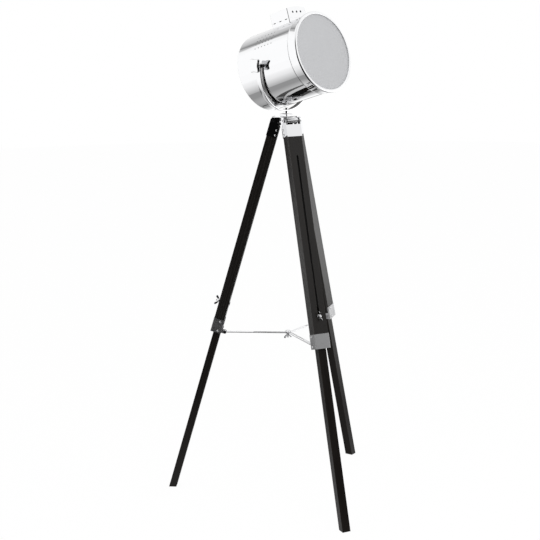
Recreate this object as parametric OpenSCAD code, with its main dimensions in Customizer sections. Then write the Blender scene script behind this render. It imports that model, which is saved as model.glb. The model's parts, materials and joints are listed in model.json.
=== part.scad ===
// Tripod spotlight floor lamp: a chrome drum head in a yoke, on three wooden legs that extend and fold.
// The origin is on the floor on the tripod's centre line, +Z is up and the drum faces -Y.
// A leg's own frame starts at its hinge: X points out of its front face, Y across it and -Z down along it.

/* [Drum] */
// Outer diameter of the drum shell
drum_d = 222; // [190:1:250]
// Sheet thickness of the drum shell
drum_wall = 1; // [0.8:0.1:2]
// From the tilt axis back to the outside of the rear cover
drum_back = 87.5; // [80:0.5:110]
// From the tilt axis forward to the front of the bezel
drum_front = 146; // [125:0.5:165]
// Height of the tilt axis above the centre line of the drum
axis_drop = 6; // [0:0.5:15]
// How far the drum looks up above the horizontal
head_tilt = 17; // [-20:1:20]
// Radial thickness of the bezel's sleeve
bezel_wall = 1.2; // [0.8:0.1:2]
// Length of the bezel's sleeve over the shell
sleeve_len = 30.5; // [15:0.5:45]
// How far the bezel's rim stands out past the drum shell
rim_out = 6; // [3:0.5:12]
// Length of the bezel's rim along the drum
rim_len = 5; // [3.5:0.5:9]
// Width of the bezel's flat front ring
rim_face = 10.5; // [8:0.5:16]
// Thickness of the bezel's front lip
lip_t = 3; // [2:0.5:3.5]
// Thickness of the diffuser
diffuser_t = 3; // [2:0.5:5]
// Thickness of the rear cover
cover_t = 1.5; // [1.2:0.1:4]
// Length of the rear cover's spigot inside the shell
spigot_len = 6; // [5:0.5:18]
// Wall of the rear cover's spigot
spigot_wall = 2; // [1.2:0.1:4]

/* [Air holes] */
// Diameter of one small air hole in the shell
air_hole_d = 3; // [2:0.1:4]
// Holes in one row along the drum
air_hole_count = 6; // [3:1:6]
// Distance between two holes of a row
air_hole_step = 12.6; // [8:0.1:13]
// Rows of holes on each side
air_row_count = 4; // [1:1:5]
// Angle between two rows round the drum
air_row_step = 7; // [5:0.5:9]
// Angle of the uppermost row, from the top of the drum
air_row_start = 38; // [34:1:45]
// From the rear of the drum to the middle of the first hole
air_hole_from_rear = 69.5; // [30:0.5:80]

// Length of the air slot low on each side of the drum
low_slot_len = 22; // [10:1:30]
// Width of the low air slots
low_slot_w = 3; // [2:0.1:5]
// From the rear cover's spigot to the low air slots
low_slot_gap = 1; // [0.5:0.5:20]
// Angle of the low air slots, from the top of the drum
low_slot_angle = 152; // [130:1:165]

/* [Chimney box] */
// Width of the chimney box across the drum
box_w = 80; // [60:1:90]
// Length of the chimney box along the drum
box_len = 67; // [50:1:80]
// From the rear of the drum to the chimney box
box_from_rear = 104; // [60:1:110]
// Height of the chimney box's side walls
box_h = 28; // [20:0.5:40]
// Rise of the chimney box's arched top
box_crown = 4.5; // [2:0.5:8]
// Sheet thickness of the chimney box and its base
box_wall = 1.2; // [0.8:0.1:2]
// Height of the base above the top of the drum
base_h = 5.6; // [4:0.1:9]
// Diameter of the round holes in the chimney box
box_hole_d = 6; // [3:0.5:9]
// Distance between the round holes
box_hole_step = 17; // [12:0.5:20]
// Height of the round holes above the base
box_hole_h = 17; // [9:0.5:18]
// Length of one air gap in the base's upper edge
base_gap_len = 8; // [4:0.5:12]
// Height of one air gap
base_gap_h = 2; // [1:0.1:3]

/* [Lamp inside] */
// Diameter of the lamp socket
socket_d = 40; // [36:1:50]
// Length of the lamp socket
socket_len = 45; // [35:1:55]
// Diameter of the bulb's screw cap
cap_d = 26.6; // [20:0.1:28]
// Length of the bulb's screw cap
cap_len = 26; // [20:0.5:30]
// Diameter of the bulb's glass
bulb_d = 60; // [45:1:65]
// Length of the whole bulb
bulb_len = 108; // [90:1:115]
// Diameter of the socket's mounting plate
plate_d = 64; // [58:1:80]
// Thickness of the socket's mounting plate
plate_t = 2; // [1.5:0.1:4]
// Radius of the cable's way through the gland
gland_bore_r = 3.2; // [2:0.1:4]
// Radius of the gland's body
gland_r = 5; // [4.8:0.1:7]
// From the drum's centre line down to the gland
gland_drop = 62; // [50:1:80]

/* [Yoke] */
// Width of the yoke's strip
yoke_w = 15; // [12:0.5:30]
// Thickness of the yoke's strip
yoke_t = 3; // [2:0.1:5]
// Gap between the drum shell and each arm of the yoke
yoke_side_gap = 5; // [4:0.5:20]
// Gap between the drum, when level, and the yoke below it
yoke_low_gap = 16; // [14:0.5:35]
// Radius of the studs that the drum tilts on
stud_r = 3; // [2.5:0.1:4]
// Radius of the threaded bosses in the drum's sides
boss_r = 7; // [5.5:0.1:9]
// Radius of the flange behind each boss
boss_flange_r = 12; // [10:0.5:15]
// Length of each boss inside the shell
boss_depth = 10; // [8:0.5:16]

/* [Knobs] */
// Height of a tilt knob
tilt_knob_h = 40; // [34:0.5:50]
// Width of a tilt knob from front to back
tilt_knob_w = 30; // [26:0.5:50]
// Thickness of a tilt knob's grip
tilt_knob_t = 10; // [8:0.5:18]
// Length of a tilt knob's collar
tilt_collar = 8.3; // [2:0.1:14]
// Radius of a tilt knob's collar
tilt_collar_r = 8; // [6:0.5:10]
// Width of the pan knob
pan_knob_w = 29; // [28:0.5:40]
// Height of the pan knob
pan_knob_h = 10; // [9:0.5:18]
// Radius of the swivel bolt
swivel_r = 4; // [3:0.1:5]
// Radius of the swivel bolt's head
swivel_head_r = 6.5; // [6:0.1:8]
// Height of the swivel bolt's head
swivel_head_h = 4.5; // [3:0.1:6]
// Height of the spacer below the yoke
spacer_t = 7.4; // [2:0.1:10]
// Radius of the spacer below the yoke
spacer_r = 6; // [5.5:0.1:9]

/* [Hub] */
// Distance of each leg's hinge from the centre line
hinge_r = 36.2; // [35:0.1:50]
// Radius of the hub's middle
hub_core_r = 24; // [18:0.5:26]
// Depth of the hub's middle below the hinges
hub_depth = 14; // [10:0.5:14]
// Width of each lug between the cheeks of a bracket
lug_w = 32; // [24:0.5:36]
// Radius of each lug round its hinge
lug_r = 8; // [7:0.1:9]
// Radius of the hinge bolts
hinge_bolt_r = 3; // [2.5:0.1:4]
// Radius of the hinge bolts' heads and nuts
hinge_head_r = 5.5; // [5:0.1:7]
// Height of the hinge bolts' heads and nuts
hinge_head_h = 4; // [3:0.1:6]
// Radius of the bushes beside the lugs
bush_r = 5; // [4.5:0.1:7]

/* [Legs] */
// Angle of the first leg round from +X
first_leg = 6.5; // [0:0.1:40]
// Angle of each leg from the vertical
leg_splay = 16.6; // [14:0.1:20]
// Width of the upper leg
upper_w = 44.5; // [40:0.5:46]
// Depth of the upper leg from front to back
upper_d = 30.3; // [28:0.1:32]
// Length of the upper leg
upper_len = 643; // [560:0.5:700]
// From the hinge down to the top of the upper leg
hinge_to_wood = 18; // [17:0.5:24]
// From the hinge in to the middle of the upper leg's depth
hinge_out = 8.4; // [6:0.1:8.5]
// Thickness of the slotted face board
face_t = 8; // [6:0.5:9]
// Length of the block between the rails at the top
block_len = 42; // [30:1:50]
// Width of the lower leg
lower_w = 25.2; // [20:0.1:27]
// Length of the lower leg below the upper leg
lower_out = 525; // [400:1:600]
// Length of the lower leg inside the upper leg
lower_in = 121; // [90:1:160]
// From the lower leg's top down to the clamp bolt
clamp_from_top = 30; // [20:1:40]
// From the upper leg's top down to the top of its slot
slot_from_top = 84; // [78:1:150]
// Radius of the clamp bolts
clamp_r = 2.5; // [2:0.1:3.5]
// Angle that the legs fold inwards
fold_angle = 9; // [4:0.5:9]

/* [Leg fittings] */
// Sheet thickness of the top brackets
bracket_t = 1.5; // [1:0.1:2]
// From the hinge down to the lower edge of the top bracket
bracket_low = 47; // [42:0.5:55]
// From the hinge down to the upper edge of the bracket's front plate
bracket_plate_top = 12; // [11.5:0.5:16]
// Height of the collars
collar_h = 42.5; // [30:0.5:55]
// Sheet thickness of the collars
collar_t = 1.2; // [0.8:0.1:2]
// How far the collars fold round the back of the wood above their strap
collar_lip = 3; // [2:0.5:6]
// Radius of the wood screws' shanks
screw_r = 1.5; // [1.2:0.1:2]
// Radius of the wood screws' heads
screw_head_r = 3; // [2.5:0.1:4]
// Length of the wood screws in the wood
screw_len = 7; // [5:0.5:8]
// Height of the wood screws' heads
screw_head_h = 1.5; // [1:0.1:2]
// From the edge of a bracket or collar to its screws
screw_edge = 7; // [6:0.5:10]
// From the back of the wood to the screws of a top bracket
bracket_screw_in = 5.5; // [4:0.5:9]
// From the back of the wood to the screws of a collar
collar_screw_in = 9.5; // [4:0.5:20]
// Distance between the two rivets of a hinge tab
rivet_step = 9; // [7:0.5:14]

/* [Spreader] */
// Width of the spreader arms
arm_w = 12; // [11:0.5:16]
// Thickness of the spreader arms
arm_t = 2; // [1.5:0.1:2.4]
// Radius of the eye at the end of each arm
eye_r = 4; // [3.6:0.1:5]
// Radius of the pins that the arms hinge on
pin_r = 2; // [1.5:0.1:2.2]
// Radius of the spreader's centre bolt
centre_r = 2.5; // [2:0.1:2.5]
// Width of the hinge tabs on the collars
tab_w = 16; // [15:0.5:20]
// Sheet thickness of the hinge tabs
tab_t = 2; // [1.5:0.1:2.5]
// From the collar's lower edge down to the hinge pin
pin_drop = -3.8; // [-4:0.1:3]
// From the collar's inner face to the hinge pin
pin_out = 10; // [8.5:0.1:16]
// Radius of the centre bolt's domed head
centre_head_r = 9; // [7:0.5:11]

/* [Wing nuts] */
// Radius of a wing nut's body
wing_body_r = 5.5; // [5:0.1:7]
// Height of a wing nut's body
wing_body_h = 7; // [5:0.5:10]
// From a wing nut's axis to the middle of each wing
wing_reach = 8.5; // [7.5:0.1:12]
// Radius of a wing
wing_r = 4.5; // [3.5:0.1:6]
// Thickness of a wing
wing_t = 2.2; // [1.5:0.1:3]

/* [Clearances] */
// Radial clearance of a turning shaft in its hole
run_gap = 0.08; // [0.02:0.01:0.1]
// Gap between faces that slide or turn past each other
slide_gap = 0.3; // [0.2:0.05:0.5]
// Side clearance of a bolt in a slot
slot_gap = 0.5; // [0.4:0.05:0.8]
// Radial clearance of a fixed piece in its seat
seat_gap = 0.05; // [0.02:0.01:0.1]

/* [Hidden] */
$fn = 64;

chrome = [0.82, 0.83, 0.85];
satin = [0.60, 0.60, 0.61];
black_wood = [0.11, 0.10, 0.09];
opal = [0.82, 0.83, 0.84];
ceramic = [0.93, 0.92, 0.89];
brass = [0.80, 0.68, 0.38];
rubber = [0.08, 0.08, 0.08];

// Leg frame: distances s run down the leg from its hinge
wood_top = hinge_to_wood;
wood_low = wood_top + upper_len;
floor_s = wood_low + lower_out;
hinge_z = floor_s * cos(leg_splay) + hinge_out * sin(leg_splay);
face_x = upper_d / 2 - hinge_out;
rail_x = face_x - face_t;
back_x = face_x - upper_d;
channel_w = lower_w + 2 * slide_gap;
lower_top = wood_low - lower_in;
lower_back = back_x + slide_gap;
lower_d = rail_x - slide_gap - lower_back;
clamp_s = lower_top + clamp_from_top;
slot_w = 2 * (clamp_r + slide_gap);
slot_top = wood_top + slot_from_top;
lower_travel = clamp_s - slot_top - slot_w / 2;
block_low = wood_top + block_len;

// Fittings on a leg
cheek_y = upper_w / 2;
cheek_out = cheek_y + bracket_t;
cheek_r = face_x + bracket_t;
collar_low = wood_low + collar_t;
collar_top = collar_low - collar_h;
collar_back = back_x - collar_t;
bracket_screw_x = back_x + bracket_screw_in;
collar_screw_x = back_x + collar_screw_in;
bracket_screws = [wood_top + screw_edge, bracket_low - screw_edge];
collar_screws = [collar_top + screw_edge, collar_low - screw_edge];
pin_x = collar_back - pin_out;
pin_s = collar_low + pin_drop;
eye_w = tab_w - 2 * tab_t - 2 * slide_gap - 2;
ear_y = eye_w / 2 + slide_gap;
ear_r = eye_r + 1;
rivet_low = collar_low - screw_edge;
rivet_s = [rivet_low - rivet_step, rivet_low];
tab_top = rivet_s[0] - screw_head_r - 1;
tab_low = pin_s + ear_r;
strap_top = tab_top - 1;

// Spreader, in the upright plane of one leg
pin_radius = hinge_r + pin_x * cos(leg_splay) + pin_s * sin(leg_splay);
pin_z = hinge_z + pin_x * sin(leg_splay) - pin_s * cos(leg_splay);
fold_stroke = (pin_radius - hinge_r) * (1 - cos(fold_angle)) + (hinge_z - pin_z) * sin(fold_angle);
arm_slot_w = 2 * (centre_r + slot_gap);
arm_tip = arm_slot_w / 2 + arm_w / 3;
arm_step = arm_t + slide_gap;
stack_half = arm_step + arm_t / 2;

// Hub and swivel
hub_top = hinge_z + lug_r;
hub_low = hinge_z - hub_depth;
pan_knob_z = hub_top + slide_gap;
swivel_spacer_z = pan_knob_z + pan_knob_h + slide_gap;
yoke_z = swivel_spacer_z + spacer_t + slide_gap;

// Yoke and drum
drum_r = drum_d / 2;
bore_r = drum_r - drum_wall;
arm_in = drum_r + yoke_side_gap;
arm_out = arm_in + yoke_t;
yoke_drop = axis_drop + drum_r + yoke_low_gap + yoke_t;
tilt_z = yoke_z + yoke_drop;
bend_z = yoke_z + arm_out;
flange_x = sqrt(pow(bore_r - seat_gap, 2) - pow(axis_drop + boss_flange_r, 2));
rim_r = drum_r + rim_out;
window_r = rim_r - rim_face;
diffuser_front = drum_front - lip_t;
shell_front = diffuser_front - diffuser_t;
shell_back = -drum_back + cover_t;
sleeve_back = drum_front - rim_len - sleeve_len;
sleeve_r = drum_r + seat_gap;
box_back = -drum_back + box_from_rear;
base_top = drum_r + base_h;
crown_r = (pow(box_w / 2, 2) + pow(box_crown, 2)) / (2 * box_crown);
socket_back = shell_back + plate_t;
socket_front = socket_back + socket_len;
cap_back = socket_front - cap_len;
bulb_tip = cap_back + bulb_len;
plate_screw_r = (socket_d + plate_d) / 4;

// Point where a line from p touches the circle of radius r about the origin
function touch_point(p, r) =
    let (d = norm(p), turn = acos(r / d), heading = atan2(p[1], p[0]) - turn)
    [r * cos(heading), r * sin(heading)];

// Where the parts stand
module leg_frame(i) {
    rotate([0, 0, first_leg + 120 * i])
        translate([hinge_r, 0, hinge_z])
            rotate([0, -leg_splay, 0])
                children();
}

// Frame of the tilting head: its origin is on the tilt axis
module head_frame() {
    translate([0, 0, tilt_z])
        rotate([-head_tilt, 0, 0])
            children();
}

// Frame of the drum: +Z runs forward along the drum, +Y up across it
module drum_frame() {
    head_frame()
        translate([0, 0, -axis_drop])
            rotate([90, 0, 0])
                children();
}

// Round bar between two stations of the Z axis
module bar(r, z0, z1) {
    translate([0, 0, z0])
        cylinder(r = r, h = z1 - z0);
}

// Tube between two stations of the Z axis
module tube(r_out, r_in, z0, z1) {
    difference() {
        bar(r_out, z0, z1);
        bar(r_in, z0 - 1, z1 + 1);
    }
}

// Round bar across a leg, centred on its middle plane
module cross_bar(r, x, s, length) {
    translate([x, 0, -s])
        rotate([90, 0, 0])
            cylinder(r = r, h = length, center = true);
}

// Round bar along a leg's outward direction
module outward_bar(r, s, x0, x1) {
    translate([x0, 0, -s])
        rotate([0, 90, 0])
            cylinder(r = r, h = x1 - x0);
}

// Box in a leg's frame from back to front, of full width w, between two distances down the leg
module leg_box(x0, x1, w, s0, s1) {
    translate([x0, -w / 2, -s1])
        cube([x1 - x0, w, s1 - s0]);
}

// Four-lobed grip about the Z axis: a block of wx by wy with hollow sides and rounded corners
module star_grip(wx, wy, h) {
    difference() {
        intersection() {
            translate([-wx / 2, -wy / 2, 0])
                cube([wx, wy, h]);
            cylinder(r = 0.455 * norm([wx, wy]), h = h);
        }
        for (side = [-1, 1]) {
            hollow_side(side * wx / 2, 0, 0.75 * wy, h);
            hollow_side(0, side * wy / 2, 0.75 * wx, h);
        }
    }
}

// Round hollow of radius r, a tenth of it deep, in the side of a grip at x, y
module hollow_side(x, y, r, h) {
    reach = 1 + 0.9 * r / norm([x, y]);
    translate([x * reach, y * reach, -1])
        cylinder(r = r, h = h + 2);
}

// Wing nut about the Z axis, its body rising from 0 and its wings leaning up and out
module wing_nut(bore) {
    difference() {
        union() {
            cylinder(r1 = wing_body_r, r2 = 0.8 * wing_body_r, h = wing_body_h);
            for (side = [-1, 1])
                wing(side);
        }
        bar(bore, -1, 3 * wing_body_h);
    }
}

// One wing: a round blade on a flat neck
module wing(side) {
    blade_z = wing_body_h + 0.5 * wing_r;
    translate([side * wing_reach, wing_t / 2, blade_z])
        rotate([90, 0, 0])
            cylinder(r = wing_r, h = wing_t);
    translate([side > 0 ? 0.7 * wing_body_r : -wing_reach, -wing_t / 2, 0.4 * wing_body_h])
        cube([wing_reach - 0.7 * wing_body_r, wing_t, 0.6 * wing_body_h]);
}

// The head
module drum_shell() {
    color(chrome)
        drum_frame()
            difference() {
                tube(drum_r, bore_r, shell_back, shell_front);
                air_holes();
                low_slots();
                boss_holes();
                chimney_hole();
            }
}

// Rows of small holes high on both sides of the drum
module air_holes() {
    for (side = [-1, 1], row = [0:air_row_count - 1], k = [0:air_hole_count - 1])
        translate([0, 0, -drum_back + air_hole_from_rear + k * air_hole_step])
            rotate([0, 0, 90 + side * (air_row_start + row * air_row_step)])
                rotate([0, 90, 0])
                    bar(air_hole_d / 2, bore_r - 5, drum_r + 5);
}

// One slot low on each side of the drum, beside the rear cover
module low_slots() {
    for (side = [-1, 1])
        rotate([0, 0, 90 + side * low_slot_angle])
            translate([bore_r - 5, -low_slot_w / 2, shell_back + spigot_len + low_slot_gap])
                cube([10 + drum_wall, low_slot_w, low_slot_len]);
}

module boss_holes() {
    for (side = [-1, 1])
        translate([0, axis_drop, 0])
            rotate([0, side * 90, 0])
                bar(boss_r + seat_gap, bore_r / 2, drum_r + 5);
}

// Opening in the shell that lets warm air up into the chimney box
module chimney_hole() {
    hole_w = 0.6 * box_w;
    hole_len = 0.6 * box_len;
    translate([-hole_w / 2, 0, box_back + (box_len - hole_len) / 2])
        cube([hole_w, drum_r + 5, hole_len]);
}

module rear_cover() {
    color(chrome)
        drum_frame()
            difference() {
                union() {
                    bar(drum_r, -drum_back, shell_back);
                    tube(bore_r - seat_gap, bore_r - seat_gap - spigot_wall, shell_back - 0.5, shell_back + spigot_len);
                }
                translate([0, -gland_drop, 0])
                    bar(gland_r + seat_gap, -drum_back - 1, shell_back + 1);
                for (side = [-1, 1])
                    translate([side * plate_screw_r, 0, 0])
                        bar(screw_r + seat_gap, -drum_back - 1, shell_back + 1);
            }
}

module front_bezel() {
    color(chrome)
        drum_frame()
            difference() {
                union() {
                    bar(sleeve_r + bezel_wall, sleeve_back, drum_front - rim_len);
                    bar(rim_r, drum_front - rim_len, drum_front);
                }
                bar(sleeve_r, sleeve_back - 1, diffuser_front);
                bar(window_r, diffuser_front - 1, drum_front + 1);
            }
}

module diffuser() {
    color(opal)
        drum_frame()
            bar(drum_r - seat_gap, shell_front, diffuser_front);
}

// Block over the chimney box's plan, of height h above the middle of the drum
module box_block(inset, h) {
    translate([-box_w / 2 + inset, 0, box_back + inset])
        cube([box_w - 2 * inset, h, box_len - 2 * inset]);
}

module chimney_base() {
    color(chrome)
        drum_frame()
            difference() {
                box_block(0, base_top);
                box_block(box_wall * 2, base_top + 1);
                bar(drum_r + seat_gap, box_back - 1, box_back + box_len + 1);
                base_gaps();
            }
}

// Short air gaps in the upper edge of the base's two long sides
module base_gaps() {
    pitch = box_len / 3;
    for (k = [0:2])
        translate([-box_w, base_top - base_gap_h, box_back + (k + 0.5) * pitch - base_gap_len / 2])
            cube([2 * box_w, base_gap_h + 1, base_gap_len]);
}

module chimney_box() {
    color(chrome)
        drum_frame()
            difference() {
                arched_block(0);
                arched_block(box_wall);
                for (k = [-1:1])
                    translate([k * box_hole_step, base_top + box_hole_h, 0])
                        bar(box_hole_d / 2, box_back - 1, box_back + box_len + 1);
            }
}

// Solid form of the chimney box, shrunk by inset except at its open underside
module arched_block(inset) {
    low = inset > 0 ? base_top - 1 : base_top;
    intersection() {
        translate([-box_w / 2 + inset, low, box_back + inset])
            cube([box_w - 2 * inset, box_h + box_crown - inset + base_top - low, box_len - 2 * inset]);
        translate([0, base_top + box_h + box_crown - crown_r, 0])
            bar(crown_r - inset, box_back - 1, box_back + box_len + 1);
    }
}

// Threaded bosses through the shell that take the tilt studs
module pivot_bosses() {
    color(chrome)
        head_frame()
            for (side = [-1, 1])
                rotate([0, side * 90, 0])
                    difference() {
                        union() {
                            bar(boss_r, flange_x - boss_depth, arm_in - slide_gap);
                            bar(boss_flange_r, flange_x - plate_t, flange_x);
                        }
                        bar(stud_r + run_gap, flange_x - boss_depth - 1, arm_in + 1);
                    }
}

module socket_plate() {
    color(satin)
        drum_frame()
            difference() {
                bar(plate_d / 2, shell_back, socket_back);
                for (side = [-1, 1])
                    translate([side * plate_screw_r, 0, 0])
                        bar(screw_r + seat_gap, shell_back - 1, socket_back + 1);
            }
}

// Screws and nuts that hold the socket's plate to the rear cover
module plate_screws() {
    color(satin)
        drum_frame()
            for (side = [-1, 1])
                translate([side * plate_screw_r, 0, 0]) {
                    bar(screw_head_r, -drum_back - screw_head_h, -drum_back);
                    bar(screw_r, -drum_back - screw_head_h / 2, socket_back + screw_head_h);
                    bar(screw_head_r, socket_back, socket_back + screw_head_h);
                }
}

module lamp_socket() {
    color(ceramic)
        drum_frame()
            difference() {
                bar(socket_d / 2, socket_back, socket_front);
                bar(cap_d / 2 + seat_gap, cap_back, socket_front + 1);
            }
}

module bulb() {
    glass_r = bulb_d / 2;
    color(ceramic)
        drum_frame() {
            bar(cap_d / 2, cap_back, socket_front);
            translate([0, 0, socket_front])
                cylinder(r1 = cap_d / 2, r2 = 0.9 * glass_r, h = bulb_tip - glass_r - socket_front);
            translate([0, 0, bulb_tip - glass_r])
                sphere(r = glass_r);
        }
}

module cable_gland() {
    flange_t = 3;
    color(rubber)
        drum_frame()
            translate([0, -gland_drop, 0])
                difference() {
                    union() {
                        bar(gland_r + 2, -drum_back - flange_t, -drum_back);
                        bar(gland_r, -drum_back - flange_t, shell_back + flange_t);
                        bar(gland_r + 2, shell_back, shell_back + flange_t);
                    }
                    bar(gland_bore_r, -drum_back - flange_t - 1, shell_back + flange_t + 1);
                }
}

// The yoke and the knobs
module yoke() {
    color(chrome)
        difference() {
            union() {
                yoke_bend();
                for (side = [-1, 1])
                    yoke_arm(side);
            }
            translate([0, 0, tilt_z])
                rotate([0, 90, 0])
                    cylinder(r = stud_r + run_gap, h = 3 * arm_out, center = true);
            bar(swivel_r + run_gap, yoke_z - 1, yoke_z + 2 * yoke_t);
        }
}

module yoke_bend() {
    translate([0, 0, bend_z])
        difference() {
            rotate([90, 0, 0])
                cylinder(r = arm_out, h = yoke_w, center = true, $fn = 128);
            rotate([90, 0, 0])
                cylinder(r = arm_in, h = yoke_w + 2, center = true, $fn = 128);
            translate([-2 * arm_out, -yoke_w, 0])
                cube([4 * arm_out, 2 * yoke_w, 2 * arm_out]);
        }
}

module yoke_arm(side) {
    translate([side > 0 ? arm_in : -arm_out, 0, 0]) {
        translate([0, -yoke_w / 2, bend_z])
            cube([yoke_t, yoke_w, tilt_z - bend_z]);
        translate([0, 0, tilt_z])
            rotate([0, 90, 0])
                cylinder(r = yoke_w / 2, h = yoke_t);
    }
}

// Knob outside one arm of the yoke, with the stud that it screws into the drum's boss
module tilt_knob(side) {
    collar_x = arm_out + slide_gap;
    grip_x = collar_x + tilt_collar;
    color(chrome)
        translate([0, 0, tilt_z])
            rotate([0, side * 90, 0]) {
                bar(tilt_collar_r, collar_x, grip_x);
                translate([0, 0, grip_x])
                    star_grip(tilt_knob_h, tilt_knob_w, tilt_knob_t);
                bar(stud_r, flange_x - boss_depth, grip_x + 1);
            }
}

module pan_knob() {
    color(chrome)
        translate([0, 0, pan_knob_z])
            difference() {
                star_grip(pan_knob_w, pan_knob_w, pan_knob_h);
                bar(swivel_r + run_gap, -1, pan_knob_h + 1);
            }
}

// The hub
module hub() {
    color(chrome)
        difference() {
            union() {
                bar(hub_core_r, hub_low, hub_top);
                for (i = [0:2])
                    rotate([0, 0, first_leg + 120 * i])
                        hub_lug();
            }
            bar(swivel_r + seat_gap, hub_low - 1, hub_top + 1);
            for (i = [0:2])
                leg_frame(i)
                    cross_bar(hinge_bolt_r + seat_gap, 0, 0, lug_w + 2);
        }
}

module hub_lug() {
    translate([0, -lug_w / 2, hinge_z - lug_r])
        cube([hinge_r, lug_w, 2 * lug_r]);
    translate([hinge_r, 0, hinge_z])
        cross_bar(lug_r, 0, 0, lug_w);
}

module swivel_bolt() {
    head_z = yoke_z + yoke_t + slide_gap;
    color(chrome) {
        bar(swivel_r, hub_low, head_z + 1);
        bar(swivel_head_r, head_z, head_z + swivel_head_h);
    }
}

module swivel_spacer() {
    color(chrome)
        tube(spacer_r, swivel_r + seat_gap, swivel_spacer_z, swivel_spacer_z + spacer_t);
}

// Three hinge bolts, each with a domed head on one side and a nut on the other
module hinge_bolts() {
    grip = 2 * (cheek_out + slide_gap);
    color(chrome)
        for (i = [0:2])
            leg_frame(i) {
                cross_bar(hinge_bolt_r, 0, 0, grip + hinge_head_h);
                for (side = [-1, 1])
                    translate([0, side * (grip + hinge_head_h) / 2, 0])
                        cross_bar(hinge_head_r, 0, 0, hinge_head_h);
            }
}

// Bushes that fill the space between each lug and the cheeks beside it
module hinge_bushes() {
    bush_len = cheek_y - lug_w / 2 - slide_gap;
    color(satin)
        for (i = [0:2], side = [-1, 1])
            leg_frame(i)
                translate([0, side * (lug_w + bush_len) / 2, 0])
                    difference() {
                        cross_bar(bush_r, 0, 0, bush_len);
                        cross_bar(hinge_bolt_r + seat_gap, 0, 0, bush_len + 2);
                    }
}

// The upper legs
module top_bracket(i) {
    color(chrome)
        leg_frame(i)
            difference() {
                union() {
                    for (side = [-1, 1])
                        translate([0, side * (cheek_y + bracket_t / 2) + bracket_t / 2, 0])
                            rotate([90, 0, 0])
                                linear_extrude(bracket_t)
                                    cheek_outline();
                    leg_box(face_x, cheek_r, 2 * cheek_out, bracket_plate_top, bracket_low);
                }
                cross_bar(hinge_bolt_r + run_gap, 0, 0, 3 * cheek_out);
                for (s = bracket_screws)
                    cross_bar(screw_r + seat_gap, bracket_screw_x, s, 3 * cheek_out);
            }
}

// Side view of a bracket's cheek: straight down the leg and round about the hinge
module cheek_outline() {
    corner = [back_x, -wood_top];
    polygon([corner, [back_x, -bracket_low], [cheek_r, -bracket_low], [cheek_r, 0], [0, 0], touch_point(corner, cheek_r)]);
    circle(r = cheek_r);
}

module face_board(i) {
    color(black_wood)
        leg_frame(i)
            difference() {
                leg_box(rail_x, face_x, upper_w, wood_top, wood_low);
                leg_box(rail_x - 1, face_x + 1, slot_w, slot_top + slot_w / 2, clamp_s);
                outward_bar(slot_w / 2, slot_top + slot_w / 2, rail_x - 1, face_x + 1);
                outward_bar(slot_w / 2, clamp_s, rail_x - 1, face_x + 1);
            }
}

module side_rails(i) {
    rail_w = (upper_w - channel_w) / 2;
    color(black_wood)
        leg_frame(i)
            for (side = [-1, 1])
                difference() {
                    translate([0, side * (upper_w - rail_w) / 2, 0])
                        leg_box(back_x, rail_x, rail_w, wood_top, wood_low);
                    for (s = bracket_screws)
                        cross_bar(screw_r + seat_gap, bracket_screw_x, s, 2 * upper_w);
                    for (s = collar_screws)
                        cross_bar(screw_r + seat_gap, collar_screw_x, s, 2 * upper_w);
                }
}

module top_block(i) {
    color(black_wood)
        leg_frame(i)
            leg_box(back_x, rail_x, channel_w, wood_top, block_low);
}

module leg_collar(i) {
    color(satin)
        leg_frame(i)
            difference() {
                leg_box(collar_back, face_x + collar_t, upper_w + 2 * collar_t, collar_top, collar_low);
                leg_box(back_x, face_x, upper_w, collar_top - 1, collar_low + 1);
                leg_box(collar_back - 1, back_x + 1, upper_w - 2 * collar_lip, collar_top - 1, strap_top);
                for (s = collar_screws)
                    cross_bar(screw_r + seat_gap, collar_screw_x, s, 2 * upper_w);
                for (s = rivet_s)
                    outward_bar(screw_r + seat_gap, s, collar_back - 1, back_x + 1);
            }
}

// Wood screws of the bracket and the collar, and the rivets of the hinge tab
module leg_screws(i) {
    color(chrome)
        leg_frame(i) {
            for (side = [-1, 1]) {
                for (s = bracket_screws)
                    wood_screw(side, cheek_out, bracket_screw_x, s);
                for (s = collar_screws)
                    wood_screw(side, cheek_y + collar_t, collar_screw_x, s);
            }
            for (s = rivet_s)
                tab_rivet(s);
        }
}

module wood_screw(side, seat_y, x, s) {
    translate([x, side * seat_y, -s])
        rotate([-side * 90, 0, 0]) {
            cylinder(r = screw_head_r, h = screw_head_h);
            bar(screw_r, cheek_y - seat_y - screw_len, screw_head_h / 2);
        }
}

module tab_rivet(s) {
    seat_x = collar_back - tab_t;
    outward_bar(screw_r, s, seat_x - 0.5, back_x);
    outward_bar(screw_head_r - 0.5, s, seat_x - 1, seat_x);
}

module spreader_tab(i) {
    color(chrome)
        leg_frame(i)
            difference() {
                union() {
                    leg_box(collar_back - tab_t, collar_back, tab_w, tab_top, tab_low);
                    for (side = [-1, 1])
                        tab_ear(side);
                }
                cross_bar(pin_r + seat_gap, pin_x, pin_s, 2 * tab_w);
                for (s = rivet_s)
                    outward_bar(screw_r + seat_gap, s, collar_back - tab_t - 1, collar_back + 1);
            }
}

module tab_ear(side) {
    translate([0, side * (ear_y + tab_t / 2), 0]) {
        leg_box(pin_x, collar_back, tab_t, pin_s - ear_r, pin_s + ear_r);
        cross_bar(ear_r, pin_x, pin_s, tab_t);
    }
}

module tab_pin(i) {
    head_h = 1.2;
    span = 2 * (ear_y + tab_t);
    color(chrome)
        leg_frame(i) {
            cross_bar(pin_r, pin_x, pin_s, span + head_h);
            for (side = [-1, 1])
                translate([0, side * (span + head_h) / 2, 0])
                    cross_bar(pin_r + 1.2, pin_x, pin_s, head_h);
        }
}

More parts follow.
